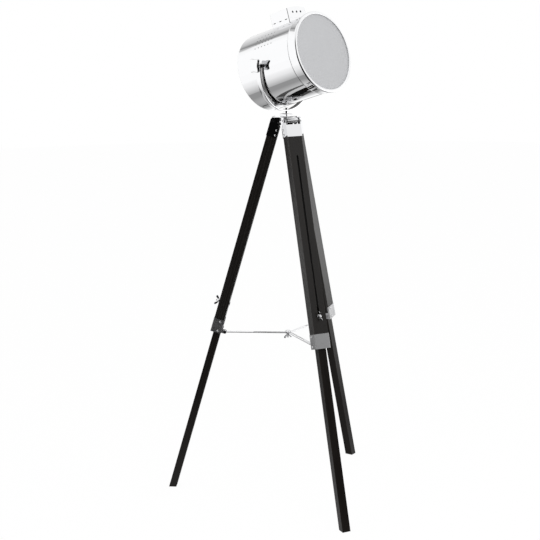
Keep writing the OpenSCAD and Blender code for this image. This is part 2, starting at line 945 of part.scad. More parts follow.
// The lower legs, cut flat on the floor
module lower_leg(i) {
    color(black_wood)
        difference() {
            leg_frame(i)
                difference() {
                    leg_box(lower_back, lower_back + lower_d, lower_w, lower_top, floor_s + upper_w);
                    outward_bar(clamp_r + seat_gap, clamp_s, back_x - 1, rail_x + 1);
                }
            translate([-hinge_z, -hinge_z, -2 * upper_w])
                cube([2 * hinge_z, 2 * hinge_z, 2 * upper_w]);
        }
}

// Clamp bolt through the lower leg and the slot, with its washer
module clamp_bolt(i) {
    head_h = 3;
    washer_x = face_x + slide_gap;
    color(chrome)
        leg_frame(i) {
            outward_bar(2.4 * clamp_r, clamp_s, lower_back - head_h, lower_back);
            outward_bar(clamp_r, clamp_s, lower_back - 1, face_x + wing_body_h + 4);
            outward_bar(2.6 * clamp_r, clamp_s, washer_x, washer_x + 1.2);
        }
}

module wing_nut_on_leg(i) {
    nut_x = face_x + 2 * slide_gap + 1.2;
    color(chrome)
        leg_frame(i)
            translate([nut_x, 0, -clamp_s])
                rotate([0, 90, 0])
                    rotate([0, 0, 18])
                        wing_nut(clamp_r + run_gap);
}

// The spreader: three flat slotted arms, stacked at the centre
module spreader_arm(i) {
    level = pin_z + (i - 1) * arm_step;
    color(chrome)
        rotate([0, 0, first_leg + 120 * i])
            difference() {
                union() {
                    translate([-arm_tip + arm_w / 2, -arm_w / 2, level - arm_t / 2])
                        cube([pin_radius - ear_r - 1 + arm_tip - arm_w / 2, arm_w, arm_t]);
                    translate([-arm_tip + arm_w / 2, 0, level - arm_t / 2])
                        cylinder(r = arm_w / 2, h = arm_t);
                    translate([pin_radius - ear_r - 2, -eye_w / 2, level - arm_t / 2])
                        cube([ear_r + 2, eye_w, arm_t]);
                    translate([pin_radius, 0, pin_z])
                        cross_bar(eye_r, 0, 0, eye_w);
                }
                translate([0, 0, pin_z])
                    arm_slot();
                translate([pin_radius, 0, pin_z])
                    cross_bar(pin_r + run_gap, 0, 0, 2 * eye_w);
            }
}

// Slot that the centre bolt runs in, as long as the arm's travel
module arm_slot() {
    h = 6 * arm_step;
    translate([0, -arm_slot_w / 2, -h / 2])
        cube([fold_stroke, arm_slot_w, h]);
    for (x = [0, fold_stroke])
        translate([x, 0, -h / 2])
            cylinder(r = arm_slot_w / 2, h = h);
}

module centre_bolt() {
    head_z = pin_z + stack_half + slide_gap;
    dome_h = 4;
    color(chrome) {
        bar(centre_r, pin_z - stack_half - wing_body_h - 5, head_z + 1);
        translate([0, 0, head_z])
            cylinder(r1 = centre_head_r, r2 = 0.55 * centre_head_r, h = dome_h);
    }
}

module centre_wing_nut() {
    color(chrome)
        translate([0, 0, pin_z - stack_half - slide_gap])
            rotate([180, 0, 0])
                rotate([0, 0, 20])
                    wing_nut(centre_r + run_gap);
}

drum_shell();
rear_cover();
front_bezel();
diffuser();
chimney_base();
chimney_box();
pivot_bosses();
socket_plate();
plate_screws();
lamp_socket();
bulb();
cable_gland();
yoke();
tilt_knob(1);  // tilt_knob_left
tilt_knob(-1);  // tilt_knob_right
pan_knob();
hub();
swivel_bolt();
swivel_spacer();
hinge_bolts();
hinge_bushes();
top_bracket(0);  // top_bracket_a
top_bracket(1);  // top_bracket_b
top_bracket(2);  // top_bracket_c
face_board(0);  // face_board_a
face_board(1);  // face_board_b
face_board(2);  // face_board_c
side_rails(0);  // side_rails_a
side_rails(1);  // side_rails_b
side_rails(2);  // side_rails_c
top_block(0);  // top_block_a
top_block(1);  // top_block_b
top_block(2);  // top_block_c
leg_collar(0);  // leg_collar_a
leg_collar(1);  // leg_collar_b
leg_collar(2);  // leg_collar_c
leg_screws(0);  // leg_screws_a
leg_screws(1);  // leg_screws_b
leg_screws(2);  // leg_screws_c
spreader_tab(0);  // spreader_tab_a
spreader_tab(1);  // spreader_tab_b
spreader_tab(2);  // spreader_tab_c
tab_pin(0);  // tab_pin_a
tab_pin(1);  // tab_pin_b
tab_pin(2);  // tab_pin_c
lower_leg(0);  // lower_leg_a
lower_leg(1);  // lower_leg_b
lower_leg(2);  // lower_leg_c
clamp_bolt(0);  // clamp_bolt_a
clamp_bolt(1);  // clamp_bolt_b
clamp_bolt(2);  // clamp_bolt_c
wing_nut_on_leg(0);  // wing_nut_a
wing_nut_on_leg(1);  // wing_nut_b
wing_nut_on_leg(2);  // wing_nut_c
spreader_arm(0);  // spreader_arm_a
spreader_arm(1);  // spreader_arm_b
spreader_arm(2);  // spreader_arm_c
centre_bolt();
centre_wing_nut();
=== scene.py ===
"""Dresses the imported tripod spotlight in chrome, black stained wood and opal plastic, in a studio."""

import json
from math import atan2, copysign, cos, hypot, pi, radians, sin

import bmesh
import bpy
import numpy as np
from bpy.props import FloatProperty, FloatVectorProperty, IntProperty, PointerProperty
from bpy.types import NodeSocket, Operator, Panel, PropertyGroup
from mathutils import Matrix, Vector

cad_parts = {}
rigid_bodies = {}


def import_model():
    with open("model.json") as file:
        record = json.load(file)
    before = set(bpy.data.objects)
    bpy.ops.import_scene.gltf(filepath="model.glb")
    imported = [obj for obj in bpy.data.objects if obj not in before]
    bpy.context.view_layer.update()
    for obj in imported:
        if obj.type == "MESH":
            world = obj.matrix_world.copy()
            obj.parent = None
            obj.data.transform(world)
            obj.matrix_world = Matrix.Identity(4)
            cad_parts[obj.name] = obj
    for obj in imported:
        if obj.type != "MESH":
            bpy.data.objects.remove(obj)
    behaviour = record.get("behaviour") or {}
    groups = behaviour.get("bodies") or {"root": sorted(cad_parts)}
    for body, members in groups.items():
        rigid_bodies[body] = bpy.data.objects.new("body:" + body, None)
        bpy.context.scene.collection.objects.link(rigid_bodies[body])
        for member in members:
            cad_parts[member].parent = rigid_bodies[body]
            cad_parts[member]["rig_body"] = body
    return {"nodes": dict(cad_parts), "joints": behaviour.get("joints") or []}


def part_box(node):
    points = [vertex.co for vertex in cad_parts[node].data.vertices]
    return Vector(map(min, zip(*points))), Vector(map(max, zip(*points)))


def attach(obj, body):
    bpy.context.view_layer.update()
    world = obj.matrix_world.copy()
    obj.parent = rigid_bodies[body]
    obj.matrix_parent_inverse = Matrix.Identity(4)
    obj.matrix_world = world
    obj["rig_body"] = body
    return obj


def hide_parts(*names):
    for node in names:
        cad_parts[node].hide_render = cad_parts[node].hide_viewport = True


bl_info = {
    "name": "Tripod Spotlight Dresser",
    "version": (1, 0, 0),
    "blender": (4, 5, 0),
    "location": "View3D > Sidebar > Spotlight",
    "description": "Builds the finished surfaces of a chrome spotlight on a wooden tripod",
    "category": "Object",
}

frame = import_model()
NODES = frame["nodes"]
JOINTS = {joint["name"]: joint for joint in frame["joints"]}
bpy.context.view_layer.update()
LEGS = "abc"

# How far the drum looks up, its centre line's drop below the tilt axis, half a leg's channel
HEAD_TILT = radians(17)
AXIS_DROP = 0.006
CHANNEL_HALF = 0.0131


# Frames of the lamp's parts

def frame_matrix(origin, x, y, z):
    """Matrix whose columns are the three unit axes and the origin."""
    m = Matrix.Identity(4)
    for column, axis in enumerate((x, y, z, origin)):
        m.col[column][:3] = axis
    return np.array(m)


def joint(name):
    """A point on a joint's axis, and the axis."""
    return Vector(JOINTS[name]["pos_m"]), Vector(JOINTS[name]["axis"]).normalized()


def drum_frame():
    """Frame on the drum's centre line: X across, Y up, Z forward."""
    up = Vector((0, sin(HEAD_TILT), cos(HEAD_TILT)))
    forward = Vector((0, -cos(HEAD_TILT), sin(HEAD_TILT)))
    return frame_matrix(joint("tilt")[0] - AXIS_DROP * up, (1, 0, 0), up, forward)


def leg_frame(letter):
    """Frame at a leg's hinge: X out of its front, Y across it, Z up along it."""
    hinge, across = joint(f"leg_{letter}_fold")
    along = Vector(JOINTS[f"leg_{letter}_extend"]["axis"]).normalized()
    return frame_matrix(hinge, across.cross(along), across, along)


def joint_frame(name, spin=0.0):
    """Frame on a joint's axis: Z along the axis, X level and turned by spin."""
    place, z = joint(name)
    side = Vector((0, 0, 1)) if abs(z.z) < 0.9 else Vector((1, 0, 0))
    x = Matrix.Rotation(spin, 3, z) @ (side - side.dot(z) * z).normalized()
    return frame_matrix(place, x, z.cross(x), z)


def placed(points, matrix):
    """Points of a local frame in the lamp's frame: M p + origin, for a whole array at once."""
    return points @ matrix[:3, :3].T + matrix[:3, 3]


def local_box(node, matrix):
    """Lowest and highest corner of a CAD node, measured along the axes of a local frame."""
    local = local_points(node, matrix)
    return local.min(0), local.max(0)


def local_points(node, matrix):
    """Points of a CAD node along the axes of a local frame."""
    return (mesh_points(NODES[node].data) - matrix[:3, 3]) @ matrix[:3, :3]


# Surfaces

def grid_faces(rows, columns):
    """Quads that join neighbours of a grid of points whose rows are closed rings."""
    i, j = np.meshgrid(np.arange(rows - 1), np.arange(columns), indexing="ij")
    here, beside = i * columns + j, i * columns + (j + 1) % columns
    return np.stack([here, beside, beside + columns, here + columns], -1).reshape(-1, 4)


def rounded(points, radius, steps=4):
    """Open outline with every inner corner rounded: each corner c becomes the arc
    c + t(1-s)^2 a + t s^2 b, where a and b point to its neighbours and t is at most the radius."""
    points = np.asarray(points, float)
    s = np.linspace(0, 1, steps + 1)[:, None]
    out = [points[:1]]
    for before, corner, after in zip(points[:-2], points[1:-1], points[2:]):
        a, b = before - corner, after - corner
        la, lb = np.linalg.norm(a), np.linalg.norm(b)
        t = min(radius, 0.45 * la, 0.45 * lb)
        out.append(corner + (1 - s) ** 2 * a / la * t + s ** 2 * b / lb * t)
    out.append(points[-1:])
    return np.vstack(out)


def corner(centre, radius, start, end, steps=8):
    """Arc of a profile: centre + radius (cos q, sin q), for q from start to end in degrees."""
    q = np.radians(np.linspace(start, end, steps))
    return np.stack([centre[0] + radius * np.cos(q), centre[1] + radius * np.sin(q)], 1)


def turned(profile, sides, outline=None):
    """Profile of (radius, height) pairs turned about Z: (r k cos a, r k sin a, h),
    where k is the outline's factor at the angle a, or 1."""
    a = np.linspace(0, 2 * pi, sides, endpoint=False)
    k = np.ones_like(a) if outline is None else outline(a)
    r, h = np.asarray(profile, float).T
    return np.stack([r[:, None] * k * np.cos(a), r[:, None] * k * np.sin(a),
                     np.broadcast_to(h[:, None], (len(h), sides))], -1)


def carried(section, centres, across, out, widths=1.0, heights=1.0):
    """Section of (u, v) pairs carried along a path: centre + w u across + h v out, at each station,
    where w and h are the station's own factors."""
    u, v = np.asarray(section, float).T
    w, h = (np.broadcast_to(factor, len(centres))[:, None] for factor in (widths, heights))
    return centres[:, None] + (w * u)[..., None] * across[:, None] + (h * v)[..., None] * out[:, None]


def upright_path(x, z):
    """Points (x, 0, z)."""
    return np.stack([x, np.zeros(len(x)), z], 1)


def rounded_box(half_u, half_v, radius, steps=5):
    """Closed section: a rectangle whose four corners are quarter circles."""
    turn = np.linspace(0, pi / 2, steps)
    return np.vstack([np.stack([su * (half_u - radius) + radius * np.cos(turn + start),
                                sv * (half_v - radius) + radius * np.sin(turn + start)], 1)
                      for su, sv, start in ((1, 1, 0), (-1, 1, pi / 2), (-1, -1, pi),
                                            (1, -1, 1.5 * pi))])


def mesh_piece(name, grids, node, material, matrix=np.eye(4), smooth=40.0, body=None):
    """Makes one closed mesh of all the grids, in a CAD node's place. Ends of a grid that don't shrink
    to a point are capped."""
    bm = bmesh.new()
    for grid in grids:
        rows, columns = grid.shape[:2]
        points = placed(grid.reshape(-1, 3), matrix)
        part = bpy.data.meshes.new("part")
        faces = grid_faces(rows, columns).tolist()
        for row in (0, rows - 1):
            if np.ptp(grid[row], axis=0).max() > 1e-6:
                faces.append([row * columns + k for k in range(columns)])
        part.from_pydata(points.tolist(), [], faces)
        single = bmesh.new()
        single.from_mesh(part)
        bmesh.ops.remove_doubles(single, verts=single.verts, dist=1e-6)
        bmesh.ops.recalc_face_normals(single, faces=single.faces)
        single.to_mesh(part)
        single.free()
        bm.from_mesh(part)
        bpy.data.meshes.remove(part)
    mesh = bpy.data.meshes.new(name)
    bm.to_mesh(mesh)
    bm.free()
    return finished(name, mesh, node, material, smooth, body)


def mesh_points(mesh):
    """All points of a mesh as one array."""
    co = np.empty(len(mesh.vertices) * 3)
    mesh.vertices.foreach_get("co", co)
    return co.reshape(-1, 3)


def new_object(name, data):
    """Puts a new object in the scene."""
    thing = bpy.data.objects.new(name, data)
    bpy.context.scene.collection.objects.link(thing)
    return thing


def finished(name, mesh, node, material, smooth, body=None):
    """Puts a mesh in a CAD node's place, smooth up to the angle. It rides the node's body, or the
    given one."""
    mesh.materials.append(material)
    mesh.shade_smooth()
    mesh.set_sharp_from_angle(angle=radians(smooth))
    piece = new_object(name, mesh)
    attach(piece, body or NODES[node]["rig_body"])
    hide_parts(node)
    return piece


def face_breadth(face):
    """Area of a face over its longest edge."""
    return face.calc_area() / max(edge.calc_length() for edge in face.edges)


def softened(node, bend, edge, material, breadth=None):
    """Copy of a CAD node with its triangles merged into flat faces. Bends between two faces that are
    broader than the breadth are rounded by the bend radius, and all other edges by the small one."""
    bm = bmesh.new()
    bm.from_mesh(NODES[node].data)
    bmesh.ops.remove_doubles(bm, verts=bm.verts, dist=1e-6)
    bmesh.ops.dissolve_limit(bm, angle_limit=radians(0.5), verts=bm.verts, edges=bm.edges)
    least = 3 * bend if breadth is None else breadth
    bends = [side for side in bm.edges if len(side.link_faces) == 2
             and side.calc_face_angle() > radians(35) and side.calc_length() > 3 * bend
             and min(face_breadth(face) for face in side.link_faces) > least]
    if bends:
        bmesh.ops.bevel(bm, geom=bends, offset=bend, offset_type="OFFSET", segments=4, profile=0.5,
                        affect="EDGES", clamp_overlap=True)
    mesh = bpy.data.meshes.new(node + "_soft")
    bm.to_mesh(mesh)
    bm.free()
    piece = finished(node + "_soft", mesh, node, material, 35.0)
    soft = piece.modifiers.new("Rounded edges", "BEVEL")
    soft.width, soft.segments, soft.limit_method, soft.angle_limit = edge, 2, "ANGLE", radians(40)
    soft.use_clamp_overlap = soft.harden_normals = True
    even = piece.modifiers.new("Flat faces", "WEIGHTED_NORMAL")
    even.weight, even.keep_sharp = 100, True
    return piece


def islands(node, matrix):
    """Separate solids of a CAD node, each as its points in a local frame: every point takes the
    lowest label among its neighbours until no label changes."""
    mesh = NODES[node].data
    edges = np.empty(len(mesh.edges) * 2, int)
    mesh.edges.foreach_get("vertices", edges)
    points, index = np.unique(np.round(local_points(node, matrix), 6), axis=0, return_inverse=True)
    a, b = index.reshape(-1)[edges].reshape(-1, 2).T
    label = np.arange(len(points))
    while True:
        lower = np.minimum(label[a], label[b])
        fresh = label.copy()
        np.minimum.at(fresh, a, lower)
        np.minimum.at(fresh, b, lower)
        if (fresh == label).all():
            return [points[label == k] for k in np.unique(label)]
        label = fresh


def screw(points, along, side, shank):
    """Domed screw in the place of a CAD one: its axis runs along one axis of the local frame, with the
    head on the given side: h = seat + rise sqrt(1 - (r / R)^2), less a cross recess at its middle."""
    low, high = points.min(0), points.max(0)
    middle = (low + high) / 2
    others = [k for k in range(3) if k != along]
    head = (high - low)[others].max() / 2
    top, foot = (high[along], low[along]) if side > 0 else (-low[along], -high[along])
    r = head * np.sin(np.linspace(0, pi / 2, 12))
    a = np.linspace(0, 2 * pi, 48, endpoint=False)
    x, y = r[:, None] * np.cos(a), r[:, None] * np.sin(a)
    near, far = np.minimum(abs(x), abs(y)), np.maximum(abs(x), abs(y))
    recess = np.clip(1.6 - near / (0.09 * head), 0, 1) * np.clip(4 - far / (0.14 * head), 0, 1)
    rise, notch, seat = 0.0011, 0.0007, top - 0.0015
    h = top - rise + rise * np.sqrt(np.maximum(0, 1 - (x ** 2 + y ** 2) / head ** 2)) - notch * recess
    rim = turned([(head, top - rise), (head, seat), (shank, seat), (shank, foot), (0, foot)], 48)
    grid = np.vstack([np.stack([x, y, h], -1), rim])
    out = np.empty_like(grid)
    out[..., [*others, along]] = grid * (1, 1, side) + (*middle[others], 0)
    return out


# Sizes and colours that a user would change

def colour(name, description, default):
    """Setting for a colour."""
    return FloatVectorProperty(name=name, description=description, subtype="COLOR", default=default,
                               min=0, max=1)


def number(name, description, default, least=0.0, **more):
    """Setting for a number."""
    return FloatProperty(name=name, description=description, default=default, min=least, **more)


def length(name, description, default, least=0.0):
    """Setting for a length in metres."""
    return number(name, description, default, least, unit="LENGTH")


class FinishSettings(PropertyGroup):
    """Colours and gloss of the lamp's finishes."""
    chrome_tint: colour("Chrome", "Colour that the plating reflects", (0.72, 0.722, 0.73))
    chrome_gloss: number("Chrome roughness", "Roughness of clean plating", 0.02, max=1, subtype="FACTOR")
    steel_tint: colour("Satin steel", "Colour of the collars", (0.42, 0.42, 0.425))
    stain: colour("Stain", "Black stain of the legs", (0.0090, 0.0072, 0.0060))
    bare_wood: colour("Rubbed wood", "Wood where the stain is rubbed", (0.055, 0.036, 0.024))
    # Painted shade: near-black colour of all that lies inside the closed drum.
    inside: colour("Drum inside", "Dull sheet inside the drum", (0.03, 0.03, 0.03))
    # Painted shade: darker plating on the yoke's inner side, which faces the drum.
    yoke_inside_shade: colour("Yoke inside", "Plating on the yoke's inner side", (0.62, 0.61, 0.60))
    opal: colour("Opal plastic", "Colour of the diffuser", (0.662, 0.668, 0.683))


class ShapeSettings(PropertyGroup):
    """Small sizes of the finished surfaces."""
    sheet_bend: length("Sheet bend", "Outer radius of a bend in folded sheet", 0.0012)
    box_bend: length("Box bend", "Outer radius of the chimney box's bends", 0.0024)
    sheet_edge: length("Sheet edge", "Rounding of a cut edge of sheet", 0.0003)
    wood_edge: length("Wood edge", "Rounding of the legs' long edges", 0.0007)
    rim_round: length("Rim rounding", "Rounding of the bezel's rim", 0.0046)
    rim_depth: length("Rim depth", "Depth of the bezel's rim along the drum", 0.0056)
    knob_round: length("Knob rounding", "Rounding of the knobs' edges", 0.0022)
    facets: IntProperty(name="Sides", description="Sides of a large turned surface", default=192, min=32)


class StudioSettings(PropertyGroup):
    """The floor, the light and the camera."""
    floor_tint: colour("Floor", "Colour of the floor", (0.86, 0.86, 0.86))
    floor_radius: length("Floor radius", "Radius of the round floor", 9.0, 1.0)
    fill: number("Fill", "Strength of the light from all round", 0.8)
    gain: number("Mirror gain", "How much brighter the paper is in the plating", 1.36)
    key: number("Key light", "Power of the large soft light in watts", 60.0)
    lens: number("Lens", "Focal length of the camera", 87.37, 10.0, unit="CAMERA")


# Shader building blocks

def new_group(name, numbers, results):
    """Empty shader group that takes a vector and the given numbers, and has the named results."""
    group = bpy.data.node_groups.new(name, "ShaderNodeTree")
    group.interface.new_socket("Vector", in_out="INPUT", socket_type="NodeSocketVector")
    for label, default in numbers.items():
        socket = group.interface.new_socket(label, in_out="INPUT", socket_type="NodeSocketFloat")
        socket.default_value = default
    for label in results:
        group.interface.new_socket(label, in_out="OUTPUT", socket_type="NodeSocketFloat")
    return group, group.nodes.new("NodeGroupInput").outputs, group.nodes.new("NodeGroupOutput")


def put(tree, kind, links=None, **settings):
    """Adds a shader node, sets its properties, then its sockets: a value, or another node's output."""
    node = tree.nodes.new("ShaderNode" + kind)
    for key, value in settings.items():
        setattr(node, key, value)
    for key, value in (links or {}).items():
        if isinstance(value, NodeSocket):
            tree.links.new(value, node.inputs[key])
        else:
            node.inputs[key].default_value = value
    return node


def calc(tree, operation, a, b=0.0, clamp=False, extra=0.0):
    """One Math node on two or three values or sockets."""
    return put(tree, "Math", {0: a, 1: b, 2: extra}, operation=operation,
               use_clamp=clamp).outputs[0]


def times(tree, a, b, clamp=False):
    """Product of two values or sockets."""
    return calc(tree, "MULTIPLY", a, b, clamp)


def vector_calc(tree, operation, a, b=(0, 0, 0), result="Vector"):
    """One Vector Math node on two vectors."""
    return put(tree, "VectorMath", {0: a, 1: b}, operation=operation).outputs[result]


def level_part(tree, vector):
    """The vector with its third part at 0."""
    return vector_calc(tree, "MULTIPLY", vector, (1, 1, 0))


def level_length(tree, vector):
    """Distance of a point from the Z axis."""
    return vector_calc(tree, "LENGTH", level_part(tree, vector), result="Value")


def split(tree, vector):
    """The three parts of a vector."""
    return put(tree, "SeparateXYZ", {0: vector}).outputs


def local_place(tree, here, matrix):
    """A point of the lamp's frame, along the axes of a local frame."""
    turn = Matrix(matrix.tolist()).inverted()
    return put(tree, "Mapping", {"Vector": here, "Location": turn.to_translation(),
                                 "Rotation": turn.to_euler()}).outputs[0]


def along_z(tree, vector, share):
    """The vector with its third part scaled, which draws a pattern out along Z."""
    return put(tree, "Mapping", {"Vector": vector, "Scale": (1.0, 1.0, share)}).outputs[0]


def feed(tree, node, **sockets):
    """Links a value to each named socket of a node, its name written with _ for a space."""
    for name, value in sockets.items():
        tree.links.new(value, node.inputs[name.replace("_", " ")])


def shade(colour, factor):
    """Colour times a factor, at most 1."""
    return tuple(min(1, factor * c) for c in colour)


def stretch(tree, value, low, high, to_low=0.0, to_high=1.0, smooth=True):
    """Map Range from low..high to to_low..to_high."""
    return put(tree, "MapRange", {"Value": value, "From Min": low, "From Max": high,
                                  "To Min": to_low, "To Max": to_high},
               interpolation_type="SMOOTHSTEP" if smooth else "LINEAR").outputs["Result"]


def mixed(tree, factor, a, b):
    """Colour mix of a and b."""
    a, b = ((*value, 1.0) if isinstance(value, tuple) else value for value in (a, b))
    return put(tree, "Mix", {0: factor, 6: a, 7: b}, data_type="RGBA").outputs[2]


def noise(tree, vector, scale, detail=3.0, roughness=0.5):
    """Noise texture's value."""
    return put(tree, "TexNoise", {"Vector": vector, "Scale": scale, "Detail": detail,
                                  "Roughness": roughness}).outputs["Fac"]


def handling_group():
    """Handling marks: soft smudges and fine wipe lines, from 0 on clean metal to 1."""
    group, given, out = new_group("Handling marks", {"Smudge Scale": 30.0, "Line Scale": 900.0,
                                                     "Amount": 0.5}, ("Mask", "Height"))
    smudge = stretch(group, noise(group, given["Vector"], given["Smudge Scale"], 4.0, 0.6), 0.52, 0.72)
    lines = noise(group, along_z(group, given["Vector"], 0.06), given["Line Scale"], 2.0, 0.7)
    streak = stretch(group, lines, 0.55, 0.8)
    both = calc(group, "ADD", times(group, smudge, 0.7), times(group, streak, 0.3))
    feed(group, out, Mask=times(group, both, given["Amount"], True), Height=lines)
    return group


def grain_group():
    """Wood grain along Z: long fibres, wider year bands and open pores."""
    group, given, out = new_group("Wood grain", {"Fibre Scale": 380.0, "Band Scale": 42.0},
                                  ("Tone", "Pores", "Height"))
    fibres = noise(group, along_z(group, given["Vector"], 0.03), given["Fibre Scale"], 4.0, 0.65)
    bands = put(group, "TexWave",
                {"Vector": along_z(group, given["Vector"], 0.08), "Scale": given["Band Scale"],
                 "Distortion": 6.0, "Detail": 3.0, "Detail Scale": 1.2},
                bands_direction="X").outputs["Fac"]
    pores = stretch(group, fibres, 0.62, 0.72)
    tone = calc(group, "ADD", times(group, fibres, 0.55), times(group, bands, 0.45))
    height = calc(group, "SUBTRACT", tone, times(group, pores, 0.6))
    feed(group, out, Tone=tone, Pores=pores, Height=height)
    return group


def bar_edge_group():
    """Mask of the long edges of a squared bar along Z: 1 where both |x - centre| and |y| come within
    the wear width of the bar's half depth and half width, broken up by noise."""
    group, given, out = new_group("Bar edges", {"Centre": 0.0, "Half Depth": 0.015, "Half Width": 0.022,
                                                "Wear Width": 0.0018}, ("Mask",))
    axes = split(group, given["Vector"])
    near = []
    for value, half in ((calc(group, "SUBTRACT", axes[0], given["Centre"]), given["Half Depth"]),
                        (axes[1], given["Half Width"])):
        gap = calc(group, "SUBTRACT", half, calc(group, "ABSOLUTE", value))
        share = calc(group, "DIVIDE", gap, given["Wear Width"])
        near.append(calc(group, "SUBTRACT", 1.0, share, True))
    edge = times(group, near[0], near[1])
    worn = stretch(group, noise(group, given["Vector"], 45.0, 4.0, 0.6), 0.45, 0.65)
    feed(group, out, Mask=times(group, edge, worn, True))
    return group


def place_group(tree, name, builder, links):
    """Puts a shared group, built once, into a material with its own values."""
    group = bpy.data.node_groups.get(name) or builder()
    return put(tree, "Group", links, node_tree=group).outputs


def blank_material(name, **constants):
    """Material with one Principled shader whose even values are set on its own sockets."""
    material = bpy.data.materials.get(name)
    if material:
        return material, None, None, None
    material = bpy.data.materials.new(name)
    material.use_nodes = True
    tree = material.node_tree
    shader = tree.nodes["Principled BSDF"]
    for key, value in constants.items():
        shader.inputs[key.replace("_", " ")].default_value = value
    return material, tree, shader, put(tree, "TexCoord").outputs["Object"]


def bumped(tree, shader, height, strength, distance):
    """Feeds a height into the shader's normal."""
    bump = put(tree, "Bump", {"Height": height, "Strength": strength, "Distance": distance})
    feed(tree, shader, Normal=bump.outputs[0])


# Mirror plating: amount of handling marks, and unevenness of the sheet
CHROME = {"drum": (0.25, 0.03), "sheet": (0.2, 0.02), "strip": (0.2, 0.02), "knob": (0.25, 0.01),
          "small": (0.3, 0.0)}
# Plain finishes: colour, lowest and highest roughness, fineness of the mottle, metal, bump
PLAIN = {"zinc": ((0.52, 0.53, 0.54), 0.3, 0.45, 300.0, 1.0, 0.1),
         "plated strip": ((0.80, 0.80, 0.81), 0.26, 0.38, 250.0, 1.0, 0.1),
         "plated casting": ((0.80, 0.80, 0.81), 0.08, 0.17, 45.0, 1.0, 0.05),
         # The yoke's inner side takes painted shade: darker, rougher plating, its colour set by the yoke
         # setting.
         "yoke inside shade": (None, 0.03, 0.07, 80.0, 1.0, 0.0),
         "ceramic": ((0.82, 0.81, 0.77), 0.12, 0.22, 60.0, 0.0, 0.1),
         "frosted glass": ((0.84, 0.84, 0.82), 0.35, 0.5, 90.0, 0.0, 0.1),
         "rubber": ((0.018, 0.018, 0.018), 0.5, 0.7, 400.0, 0.0, 0.3)}


def chrome(name):
    """Mirror plating: faint handling marks dull it, and the sheet below is a little uneven."""
    finish = bpy.context.scene.lamp_finish
    marks, wave = CHROME[name]
    material, tree, shader, here = blank_material("Lamp chrome " + name, Metallic=1.0)
    if tree:
        worn = place_group(tree, "Handling marks", handling_group,
                           {"Vector": here, "Smudge Scale": 26.0, "Line Scale": 700.0, "Amount": marks})
        tint = tuple(finish.chrome_tint)
        feed(tree, shader, Base_Color=mixed(tree, worn["Mask"], tint, shade(tint, 0.93)),
             Roughness=stretch(tree, worn["Mask"], 0.0, 1.0, finish.chrome_gloss, 0.1, False))
        sheet = calc(tree, "ADD", noise(tree, here, 14.0, 1.0, 0.4), times(tree, worn["Height"], 0.002))
        bumped(tree, shader, sheet, wave, 0.002)
    return material


def drum_chrome():
    """Mirror plating of the drum, with painted shade on all that lies inside the drum's outer face:
    near-black, rougher metal between the rear cover and the glass.
    """
    fresh = "Lamp chrome drum" not in bpy.data.materials
    material = chrome("drum")
    if fresh:
        tree, drum = material.node_tree, drum_frame()
        shader = tree.nodes["Principled BSDF"]
        local = local_place(tree, put(tree, "TexCoord").outputs["Object"], drum)
        depth = split(tree, local)[2]
        wall = local_box("drum_shell", drum)[1][0]
        back, glass = local_box("rear_cover", drum)[0][2], local_box("diffuser", drum)[0][2]
        within = times(tree, calc(tree, "LESS_THAN", level_length(tree, local), wall - 0.0003),
                       calc(tree, "GREATER_THAN", depth, back + 0.0012))
        behind = times(tree, within, calc(tree, "LESS_THAN", depth, glass))
        tint, rough = (shader.inputs[key].links[0].from_socket for key in ("Base Color", "Roughness"))
        # Painted shade: the closed drum's inside is made near black instead of plated.
        dull = tuple(bpy.context.scene.lamp_finish.inside)
        feed(tree, shader, Base_Color=mixed(tree, behind, tint, dull),
             Roughness=calc(tree, "MAXIMUM", rough, times(tree, behind, 0.5)))
    return material


def satin_steel():
    """Brushed sheet: fine lines along the leg, darker where it is handled."""
    finish = bpy.context.scene.lamp_finish
    material, tree, shader, here = blank_material("Lamp satin steel", Metallic=1.0)
    if tree:
        worn = place_group(tree, "Handling marks", handling_group,
                           {"Vector": here, "Smudge Scale": 60.0, "Line Scale": 500.0, "Amount": 0.6})
        tint = tuple(finish.steel_tint)
        feed(tree, shader, Base_Color=mixed(tree, worn["Mask"], tint, shade(tint, 0.8)),
             Roughness=stretch(tree, worn["Height"], 0.3, 0.7, 0.30, 0.42, False))
        bumped(tree, shader, worn["Height"], 0.04, 0.0002)
    return material


def black_wood(letter, section, coats, centre, half_depth, half_width, channel=0.0):
    """Black stained batten of one leg: grain along the leg under a thin satin coat, rubbed on its edges,
    with painted shade inside its channel: near black and almost without gloss. The coats are the gloss of
    its front and of its sides."""
    finish = bpy.context.scene.lamp_finish
    material, tree, shader, here = blank_material(f"Lamp black wood {section} {letter}")
    if tree:
        local = local_place(tree, here, leg_frame(letter))
        grain = place_group(tree, "Wood grain", grain_group, {"Vector": local})
        edge = place_group(tree, "Bar edges", bar_edge_group,
                           {"Vector": local, "Centre": centre, "Half Depth": half_depth,
                            "Half Width": half_width, "Wear Width": 0.0022})
        stain = tuple(finish.stain)
        toned = mixed(tree, grain["Tone"], shade(stain, 0.62), shade(stain, 1.5))
        deep = mixed(tree, grain["Pores"], toned, shade(stain, 0.35))
        rubbed = mixed(tree, times(tree, edge["Mask"], 0.3), deep, tuple(finish.bare_wood))
        axes = split(tree, local)
        aside = calc(tree, "ABSOLUTE", axes[1])
        # Painted shade inside the channel: a near-black colour and almost no gloss.
        inside = times(tree, calc(tree, "LESS_THAN", aside, channel),
                       calc(tree, "LESS_THAN", axes[0], centre + half_depth - 0.0006))
        beside = calc(tree, "GREATER_THAN", aside, half_width - 0.0008)
        coat = calc(tree, "MULTIPLY_ADD", beside, coats[1] - coats[0], extra=coats[0])
        channel_shade_gloss = calc(tree, "MULTIPLY_ADD", inside, -0.97, extra=1.0)
        feed(tree, shader, Base_Color=mixed(tree, inside, rubbed, shade(stain, 0.12)),
             Specular_IOR_Level=times(tree, coat, channel_shade_gloss),
             Roughness=stretch(tree, grain["Tone"], 0.2, 0.8, 0.30, 0.40, False))
        bumped(tree, shader, grain["Height"], 0.22, 0.0004)
    return material


